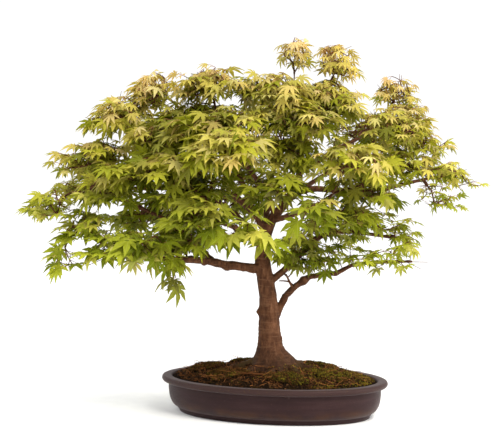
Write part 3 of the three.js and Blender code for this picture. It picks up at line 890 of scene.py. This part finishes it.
def grow_leaves(joints, wood, twigs, low, high, bare, rng):
    """Grows twigs to the joints in this box: [(joint, heading, whether a twig ends here, edge)] per leaf."""
    middle = (low + high) / 2
    order, links, load = link_joints(joints, wood)
    headings = {}
    leaves = []
    for i in order:
        link = links[i]
        start = joints[link] if isinstance(link, int) else link
        straight = (joints[i] - start).normalized()
        before = headings[link] * 0.45 if isinstance(link, int) else UP * 0.2
        path = bent_path(start, (straight + before).normalized(), joints[i], 4)
        headings[i] = (path[-1] - path[-2]).normalized()
        thick = min(TWIG_MOST, TWIG_RADIUS * math.sqrt(load[i]) + 0.0003)
        end_thick = min(thick, TWIG_RADIUS * math.sqrt(max(1, load[i] - 1)) + 0.00022)
        twigs.add(*tube(path, np.linspace(thick, end_thick, len(path)).tolist(), 5))
        end = load[i] == 1
        if not end:
            add_twiglets(twigs, path, headings[i], rng)
        offset = joints[i] - middle
        from_middle = Vector((offset.x / (high.x - low.x), offset.y / (high.y - low.y), 0)).length * 2
        edge = min(1.0, from_middle + max(0.0, offset.z / (high.z - low.z)) * 1.2)
        places = [(joints[i], turn) for turn in ([-1, 1, 0] if end else [-1, 1])]
        if edge > 0.5 and (joints[i] - start).length > BARE_STRETCH:
            places += [(path[2], -1), (path[2], 1)]
        for place, turn in places:
            if turn and rng.random() < 0.08 + bare * (1 - edge):
                continue
            heading = headings[i] + outward_way(place) * 0.7
            angle = turn * math.radians(rng.uniform(36, 78)) + rng.gauss(0, 0.14)
            heading.rotate(Matrix.Rotation(angle, 3, "Z"))
            leaves.append((place, heading, end, edge))
    return leaves


def make_leaves(name, leaves, blade, hanging, painted_shade_shift, material, nodes, rng):
    """One piece of foliage, with every leaf in its own square of the texture layout."""
    columns = math.ceil(math.sqrt(len(leaves)))
    shape = Shape()
    uv = []
    for k, (joint, heading, end, edge) in enumerate(leaves):
        look = foliage_look(joint, edge, end, painted_shade_shift, rng)
        radius = blade * min(1.3, math.exp(rng.gauss(0, 0.2))) * (1 - 0.22 * look["young"])
        hang = rng.random() ** 2.6 * 58 + rng.uniform(-8, 12) + hanging
        droop = math.radians(hang + 20 * look["young"])
        axis, face_up = leaf_axes(heading, droop, rng.gauss(0, 0.36))
        stalk_way = (axis + UP * rng.uniform(0.1, 0.6)).normalized()
        base = joint + stalk_way * rng.uniform(0.006, 0.017)
        cell = (k % columns / columns, k // columns / columns, 1 / columns)
        add_leaf(shape, uv, cell, joint, base, axis, face_up, radius, look, rng)
    mesh = shape.mesh(name)
    layer = mesh.uv_layers.new(name="OFBake")
    corners = np.empty(len(mesh.loops), int)
    mesh.loops.foreach_get("vertex_index", corners)
    layer.data.foreach_set("uv", np.concatenate(uv)[corners].astype(np.float32).ravel())
    add_piece(name, mesh, material, nodes)


def spray_seat(middle):
    """Where in the crown a spray's middle lies, as numbers from 0 to 1."""
    out = outwards(middle)
    over_rim = middle.z - RIM_HEIGHT
    return {
        "low": clamped((RIM_HEIGHT + 0.34 - middle.z) / 0.1),
        "high": clamped((over_rim - 0.35) / 0.2),
        "apex": clamped((over_rim - 0.43) / 0.06),
        "right": clamped(out.dot(TREE_RIGHT) / 0.3),
        "left": clamped(-out.dot(TREE_RIGHT) / 0.3),
        "front": clamped(-out.dot(TREE_BACK) / 0.2),
        "back": clamped(out.dot(TREE_BACK) / 0.15),
        "far": clamped((out.length - 0.26) / 0.1),
        "outer": clamped((crown_reach(middle) - 0.55) / 0.3),
    }


def make_spray(node, wood, twigs, material, rng):
    """One spray of leaves: bigger and greener low in front, smaller and sparser on the right and far out."""
    low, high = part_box(node)
    seat = spray_seat((low + high) / 2)
    hanging = node == HANGING_SPRAY
    spacing = SHOOT_SPACING * (
        1
        + 0.30 * seat["low"] * (1 + 2.4 * seat["right"])
        + 0.16 * seat["high"] * seat["left"]
        + 0.12 * seat["back"] * (1 - seat["high"])
        - 0.10 * seat["apex"]
    )
    if hanging:
        spacing = 2 * SHOOT_SPACING
    clear = INNER_CLEARANCE + seat["outer"] * (1 - 0.35 * seat["high"]) * (OUTER_CLEARANCE - INNER_CLEARANCE)
    clear += 0.010 * seat["front"] + 0.004 * seat["back"]
    lift = 0.012 if hanging else 0.004 + 0.005 * max(seat["low"], seat["high"])
    leaders = LEADER_SHARE * (1 - seat["front"]) * (1 - seat["back"])
    joints = spray_joints(node, spacing, clear, lift, leaders, rng)
    bare = 0.10 + 0.34 * (1 - seat["high"]) + 0.3 * seat["right"] * seat["low"]
    leaves = grow_leaves(joints, wood, twigs, low, high, bare, rng)
    blade = BLADE_RADIUS * (
        1
        - 0.30 * seat["right"] * (1 + 0.35 * seat["low"])
        + 0.10 * seat["left"]
        + 0.14 * seat["front"] * (1 + 1.4 * seat["low"])
        - 0.06 * seat["high"]
        - 0.22 * seat["far"]
    )
    hang = 30 if hanging else 0
    # Painted light: the low sprays on the right are painted paler
    painted_shade_shift = -0.35 * seat["right"] * seat["low"]
    make_leaves(node + "_foliage", leaves, blade, hang, painted_shade_shift, material, [node], rng)


def make_loose_shoots(name, wood, twigs, material, rng):
    """A small airy group of shoots, with no CAD solid of its own."""
    middle, half, size = LOOSE_SHOOTS[name]
    middle = tree_point(*middle)
    half = [share / 1000 for share in half]

    def place_inside():
        way = Vector((rng.gauss(0, 1), rng.gauss(0, 1), rng.gauss(0, 1))).normalized()
        ball = way * rng.random() ** 0.4
        return middle + TREE_RIGHT * ball.x * half[0] + TREE_BACK * ball.y * half[1] + UP * ball.z * half[2]

    joints = spread_out(place_inside, LOOSE_SPACING, 500)
    reach = Vector([max(half)] * 3)
    leaves = grow_leaves(joints, wood, twigs, middle - reach, middle + reach, 0.0, rng)
    # Painted light: the loose shoots are painted a little paler than the sprays
    make_leaves(name + "_foliage", leaves, size * BLADE_RADIUS, 8, -0.15, material, [], rng)


def add_bare_shoot(twigs, wood, start, end, thick):
    """A leafless shoot that leaves the wood, passes through start and ends in the open at end."""
    root = wood.find_nearest(start)[0]
    path = bent_path(root, (start - root).normalized(), start, 3)
    path += bent_path(start, (end - root).normalized(), end, 3)[1:]
    radii = np.linspace(thick / 1000, thick / 1900, len(path)).tolist()
    twigs.add(*tube(path, radii, 6))


def make_foliage():
    wood = cad_tree("trunk_and_branches")
    twigs = Shape()
    material = leaf_material()
    names = sorted(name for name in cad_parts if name.startswith("leaves_"))
    for number, name in enumerate(names):
        make_spray(name, wood, twigs, material, random.Random(FOLIAGE_SEED + number))
    for number, name in enumerate(LOOSE_SHOOTS):
        make_loose_shoots(name, wood, twigs, material, random.Random(LOOSE_SEED + number))
    for start, end, thick in BARE_SHOOTS:
        add_bare_shoot(twigs, wood, tree_point(*start), tree_point(*end), thick)
    add_piece("fine_twigs", twigs.mesh("fine_twigs"), bark_material("twig_bark", True))


# ---------- Pot, mesh squares, soil and moss ----------

LIP_OUT = 0.012
WALL_THICKNESS = 0.0065
FOOT_HEIGHT = 0.0045
LIP_BOTTOM = RIM_HEIGHT - 0.011
FLOOR_TOP = 0.011
DRAIN_SPREAD = 0.1
DRAIN_RADIUS = 0.009
DRAIN_SIDES = 40

# The pot's section, outside from the underside up to the rim and down inside: [out from the wall, height].
POT_SECTION = [
    (-0.034, FOOT_HEIGHT), (-0.0315, FOOT_HEIGHT - 0.0004), (-0.031, 0.0006), (-0.0302, 0.0),
    (-0.0204, 0.0), (-0.0197, 0.0007), (-0.0192, FOOT_HEIGHT - 0.0006), (-0.0186, FOOT_HEIGHT),
    (-0.0172, FOOT_HEIGHT + 0.0003), (-0.0167, FOOT_HEIGHT + 0.0014), (-0.0164, FOOT_HEIGHT + 0.0030),
    (-0.0156, FOOT_HEIGHT + 0.0040), (-0.0140, FOOT_HEIGHT + 0.0047),
    (-0.0112, 0.0108), (-0.0085, 0.0132), (-0.0060, 0.0164), (-0.0040, 0.0202), (-0.0024, 0.0248),
    (-0.0012, 0.0302), (-0.0004, 0.0362), (0.0, 0.0430),
    (0.0, LIP_BOTTOM - 0.0012), (0.0003, LIP_BOTTOM - 0.0004), (0.0014, LIP_BOTTOM),
    (0.0070, LIP_BOTTOM + 0.0002), (0.0094, LIP_BOTTOM + 0.0010), (0.0110, LIP_BOTTOM + 0.0026),
    (LIP_OUT, LIP_BOTTOM + 0.0055), (0.0113, RIM_HEIGHT - 0.0026), (0.0100, RIM_HEIGHT - 0.0010),
    (0.0080, RIM_HEIGHT - 0.0002), (0.0050, RIM_HEIGHT), (0.0, RIM_HEIGHT),
    (-0.0030, RIM_HEIGHT - 0.0001), (-0.0048, RIM_HEIGHT - 0.0006), (-0.0060, RIM_HEIGHT - 0.0018),
    (-WALL_THICKNESS, RIM_HEIGHT - 0.0050), (-WALL_THICKNESS - 0.0008, 0.046),
    (-WALL_THICKNESS - 0.0020, 0.0300), (-WALL_THICKNESS - 0.0050, 0.0215),
    (-WALL_THICKNESS - 0.0090, 0.0160),
    (-WALL_THICKNESS - 0.0140, 0.0122), (-WALL_THICKNESS - 0.0200, FLOOR_TOP),
]
POT_SIDES = 192
POT_A = (POT_HIGH.x - POT_LOW.x) / 2 - LIP_OUT
POT_B = (POT_HIGH.y - POT_LOW.y) / 2 - LIP_OUT


def oval_ring(out, z):
    """One level ring of the pot, this far out from its wall."""
    angles = np.linspace(0, 2 * math.pi, POT_SIDES, endpoint=False)
    return [(POT_MIDDLE.x + (POT_A + out) * math.cos(a), POT_MIDDLE.y + (POT_B + out) * math.sin(a), z)
            for a in angles]


def make_pot():
    shape = Shape()
    rings = [corner for out, z in POT_SECTION for corner in oval_ring(out, z)]
    shape.add(rings, ringed_faces(len(POT_SECTION), POT_SIDES))
    pot = linked("pot_whole", shape.mesh("pot_whole"))
    cutters = []
    for side in (-1, 1):
        cutter_shape = Shape()
        x = POT_MIDDLE.x + side * DRAIN_SPREAD
        ends = [(x, POT_MIDDLE.y, -0.01), (x, POT_MIDDLE.y, 0.03)]
        cutter_shape.add(*tube(ends, [DRAIN_RADIUS, DRAIN_RADIUS], DRAIN_SIDES))
        cutter = linked("drain_cutter", cutter_shape.mesh("drain_cutter"))
        cut = pot.modifiers.new("drain", "BOOLEAN")
        cut.operation = "DIFFERENCE"
        cut.solver = "EXACT"
        cut.object = cutter
        cutters.append(cutter)
    mesh = applied(pot)
    for extra in (pot, *cutters):
        bpy.data.objects.remove(extra)
    mesh.polygons.foreach_set("use_smooth", [True] * len(mesh.polygons))
    mesh.set_sharp_from_angle(angle=math.radians(50))
    add_piece("oval_pot", mesh, clay_material(), ["pot"])


GRIT_COUNT = 3200
FIBRE_COUNT = 1800
TUFTS_ON_PATCH = 900
TUFTS_ON_SOIL = 8500
GRASS_WIDTH = 0.0012
FLARE_TOP = RIM_HEIGHT + 0.026  # below this the trunk's flare carries soil and moss too
ABOVE_SOIL = 0.5

# Strips of bark and root that lie on the soil: [start, end, half thickness in mm].
BARK_STRIPS = [
    [(-44, -58, 0), (2, -72, 0), 2.8],
    [(-74, -56, 0), (-40, -66, 0), 2.2],
    [(34, -60, 0), (44, -88, 0), 1.6],
    [(48, -50, 0), (76, -58, 0), 1.5],
    [(-92, -26, 0), (-62, -40, 0), 1.4],
    [(12, -66, 0), (30, -92, 0), 1.3],
    [(66, -30, 0), (100, -30, 0), 1.3],
]

# Blades of grass in the pot: [foot, tip] in the tree's frame.
GRASS_BLADES = [
    [(-150, 34, 0), (-152, 34, 22)],
    [(-150, 34, 0), (-142, 32, 15)],
    [(-118, 42, 0), (-99, 40, 17)],
    [(-108, 40, 0), (-122, 44, 13)],
    [(60, 70, 0), (72, 70, 17)],
    [(96, 60, 0), (84, 62, 15)],
]


def ground_height():
    """A function that gives the height of the soil, moss or lowest trunk flare at a place, from the CAD."""
    covers = [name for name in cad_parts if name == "soil" or name.startswith("moss_")]
    surfaces = [(cad_tree(name), ABOVE_SOIL) for name in covers]
    surfaces.append((cad_tree("trunk_and_branches"), FLARE_TOP))

    def height(x, y):
        hits = [surface.ray_cast(Vector((x, y, top)), -UP)[0] for surface, top in surfaces]
        return max((hit.z for hit in hits if hit is not None), default=None)
    return height


def scattered(count, share, height, rng):
    """Random places on the ground, within this share of the pot's inside."""
    for _ in range(count):
        angle = rng.uniform(0, 2 * math.pi)
        out = share * math.sqrt(rng.random())
        x = POT_MIDDLE.x + (POT_A - WALL_THICKNESS) * out * math.cos(angle)
        y = POT_MIDDLE.y + (POT_B - WALL_THICKNESS) * out * math.sin(angle)
        z = height(x, y)
        if z is not None:
            yield Vector((x, y, z))


def roughened(node, voxel, smoothing, scales):
    """A CAD node's surface made even and rough: scales are [noise scale per metre, height in metres]."""
    mesh = remeshed(node, voxel, smoothing)
    places, normals = arrays_of(mesh)
    lift = np.empty(len(places))
    for i, place in enumerate(places):
        p = Vector(place)
        lift[i] = sum(height * noise.fractal(p * scale, 1.0, 2.0, 3) for scale, height in scales)
    upper = np.clip(normals[:, 2], 0, 1)
    reshape(mesh, places + normals * (lift * upper)[:, None])
    return mesh


def make_grit(height, rng):
    grit = Shape()
    for place in scattered(GRIT_COUNT, 0.97, height, rng):
        size = 0.0007 + 0.0021 * rng.random() ** 2
        vertices, faces = pebble(place + UP * size * 0.3, size, rng)
        grit.add(vertices, faces, vary=rng.random())
    bark_grit = soil_material("bark_grit", (0.008, 0.004, 0.0015), (0.17, 0.078, 0.032), 260, True)
    add_piece("soil_grit", grit.mesh("soil_grit"), bark_grit)


def make_fibres(height, rng):
    """Fine roots, most of them lying and a few standing up, and the strips of bark."""
    fibres = Shape()
    for place in scattered(FIBRE_COUNT, 0.95, height, rng):
        rise = rng.uniform(0.3, 1.0) if rng.random() < 0.05 else rng.uniform(-0.1, 0.16)
        length = (0.006 + 0.022 * rng.random() ** 1.6) * (0.5 if rise > 0.3 else 1)
        heading = Vector((rng.uniform(-1, 1), rng.uniform(-1, 1), rise)).normalized()
        add_strand(fibres, height, place, heading * length, rng.uniform(0.0002, 0.0006), rng.random(), rng)
    for start, end, thick in BARK_STRIPS:
        start, end = tree_point(*start), tree_point(*end)
        place = Vector((start.x, start.y, height(start.x, start.y)))
        add_strand(fibres, height, place, end - start, thick / 1000, 0.5, rng)
    root_fibre = soil_material("root_fibre", (0.012, 0.005, 0.002), (0.56, 0.21, 0.065), 500, True)
    add_piece("soil_fibres", fibres.mesh("soil_fibres"), root_fibre)


def make_soil(height, rng):
    mesh = roughened("soil", 0.0022, 3, [(150, 0.0016), (600, 0.0009)])
    damp_soil = soil_material("damp_soil", (0.0035, 0.0018, 0.0008), (0.036, 0.018, 0.007), 420, False)
    add_piece("potting_soil", mesh, damp_soil, ["soil"])
    make_grit(height, rng)
    make_fibres(height, rng)


def add_strand(shape, height, start, reach, thick, vary, rng):
    """A thin crooked strand that starts on the ground and follows it or rises over it."""
    points = []
    for i in range(5):
        place = start + reach * (i / 4)
        place += Vector((rng.gauss(0, 1), rng.gauss(0, 1), 0)) * 0.05 * reach.length
        ground_here = height(place.x, place.y)
        if ground_here is None:
            break
        place.z = max(place.z, ground_here + thick * 0.6)
        points.append(place)
    if len(points) > 1:
        radii = [thick * (1 - 0.5 * i / len(points)) for i in range(len(points))]
        shape.add(*tube(points, radii, 5), vary=vary)


PEBBLE_CORNERS = [(0, 0, 1), (0.9, 0, 0.4), (0.28, 0.86, 0.4), (-0.73, 0.53, 0.4), (-0.73, -0.53, 0.4),
                  (0.28, -0.86, 0.4), (0.73, 0.53, -0.4), (-0.28, 0.86, -0.4), (-0.9, 0, -0.4),
                  (-0.28, -0.86, -0.4), (0.73, -0.53, -0.4), (0, 0, -1)]
PEBBLE_FACES = [[0, 1, 2], [0, 2, 3], [0, 3, 4], [0, 4, 5], [0, 5, 1],
                [1, 6, 2], [2, 7, 3], [3, 8, 4], [4, 9, 5], [5, 10, 1],
                [6, 7, 2], [7, 8, 3], [8, 9, 4], [9, 10, 5], [10, 6, 1],
                [11, 7, 6], [11, 8, 7], [11, 9, 8], [11, 10, 9], [11, 6, 10]]


def pebble(place, size, rng):
    """A lumpy grain with twenty faces: (vertices, faces)."""
    turn = Matrix.Rotation(rng.uniform(0, 6.3), 3, "Z") @ Matrix.Rotation(rng.uniform(0, 6.3), 3, "X")
    stretch = Vector((rng.uniform(0.7, 1.5), rng.uniform(0.6, 1.1), rng.uniform(0.5, 0.9)))
    vertices = []
    for corner in PEBBLE_CORNERS:
        p = Vector(corner) * rng.uniform(0.8, 1.15)
        vertices.append(place + turn @ Vector((p.x * stretch.x, p.y * stretch.y, p.z * stretch.z)) * size)
    return vertices, PEBBLE_FACES


def add_blade(shape, foot, tip, width, vary):
    """A flat pointed blade, such as a moss leaf or a blade of grass."""
    way = (tip - foot).cross(UP)
    way = way.normalized() * width / 2 if way.length > 1e-7 else Vector((width / 2, 0, 0))
    middle = foot.lerp(tip, 0.55)
    shape.add([foot - way, foot + way, middle + way * 0.8, middle - way * 0.8, tip],
              [[0, 1, 2, 3], [3, 2, 4]], tip=[0.0, 0.0, 0.6, 0.6, 1.0], vary=vary)


def add_tuft(shape, place, size, rng):
    """A few moss leaves that stand close together."""
    vary = rng.random()
    for _ in range(4):
        foot = place + Vector((rng.gauss(0, 0.0007), rng.gauss(0, 0.0007), -0.0006))
        lean = Vector((rng.gauss(0, 0.5), rng.gauss(0, 0.5), 1)).normalized()
        add_blade(shape, foot, foot + lean * size * rng.uniform(0.7, 1.3), rng.uniform(0.0006, 0.0013), vary)


def make_moss_patch(node, material, rng):
    """A cushion of moss with leaves all over its top."""
    base = roughened(node, 0.0018, 2, [(90, 0.0026), (420, 0.0012)])
    places, normals = arrays_of(base)
    shape = Shape()
    shape.add(places, [list(face.vertices) for face in base.polygons], tip=0.15, vary=0.5)
    tops = [i for i in range(len(places)) if normals[i][2] > 0.25]
    for _ in range(TUFTS_ON_PATCH):
        add_tuft(shape, Vector(places[rng.choice(tops)]), 0.0032, rng)
    add_piece(node + "_tufts", shape.mesh(node + "_tufts"), material, [node])


def make_moss(height, rng):
    """The moss patches, and a thin carpet between them that thickens to the right."""
    material = moss_material()
    for node in sorted(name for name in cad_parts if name.startswith("moss_")):
        make_moss_patch(node, material, rng)
    carpet = Shape()
    for place in scattered(TUFTS_ON_SOIL, 0.97, height, rng):
        cover = noise.fractal(place * 38, 1.0, 2.0, 3) + 0.9 * TREE_RIGHT.dot(place - POT_MIDDLE) / POT_A
        if cover > rng.uniform(-0.35, 0.45):
            add_tuft(carpet, place, rng.uniform(0.0020, 0.0042), rng)
    for foot, tip in GRASS_BLADES:
        foot, tip = tree_point(*foot), tree_point(*tip)
        foot.z = height(foot.x, foot.y)
        add_blade(carpet, foot, tip, GRASS_WIDTH, 0.5)
    add_piece("moss_carpet", carpet.mesh("moss_carpet"), material)


def keep_drain_meshes():
    """The mesh squares keep their CAD shape and get a finished material."""
    material = mesh_plastic_material()
    for name in ("drain_mesh_left", "drain_mesh_right"):
        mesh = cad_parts[name].data
        mesh.materials.clear()
        mesh.materials.append(material)


make_camera()
make_studio()
make_wood()
make_foliage()
make_pot()
keep_drain_meshes()
ground = ground_height()
make_soil(ground, random.Random(SEED + 101))
make_moss(ground, random.Random(SEED + 102))
